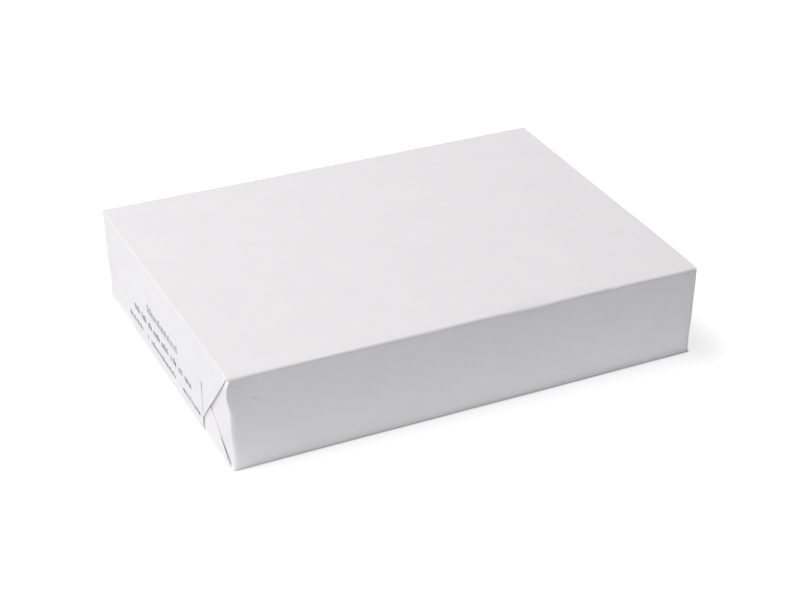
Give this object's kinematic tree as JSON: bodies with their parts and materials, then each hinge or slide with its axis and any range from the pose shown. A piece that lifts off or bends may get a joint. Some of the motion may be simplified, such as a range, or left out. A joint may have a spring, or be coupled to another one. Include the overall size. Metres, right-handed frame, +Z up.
{
  "type": "ream of paper",
  "caption": "Sealed ream of A4 drawing paper in a plain white folded wrapper, lying flat, with a thin label on one short end.",
  "frame": {"origin": "middle of the base, where the pack rests", "axes": "+X along the sheets' long side, away from the labelled end; +Z up through the stack of sheets; the labelled end faces -X"},
  "size_m": [0.2993, 0.212, 0.06],
  "materials": {
    "wrapper_paper": "matte",
    "label_paper": "satin"
  },
  "bodies": {
    "root": {"wrapped_ream": "wrapper_paper", "end_label": "label_paper"}
  },
  "joints": []
}
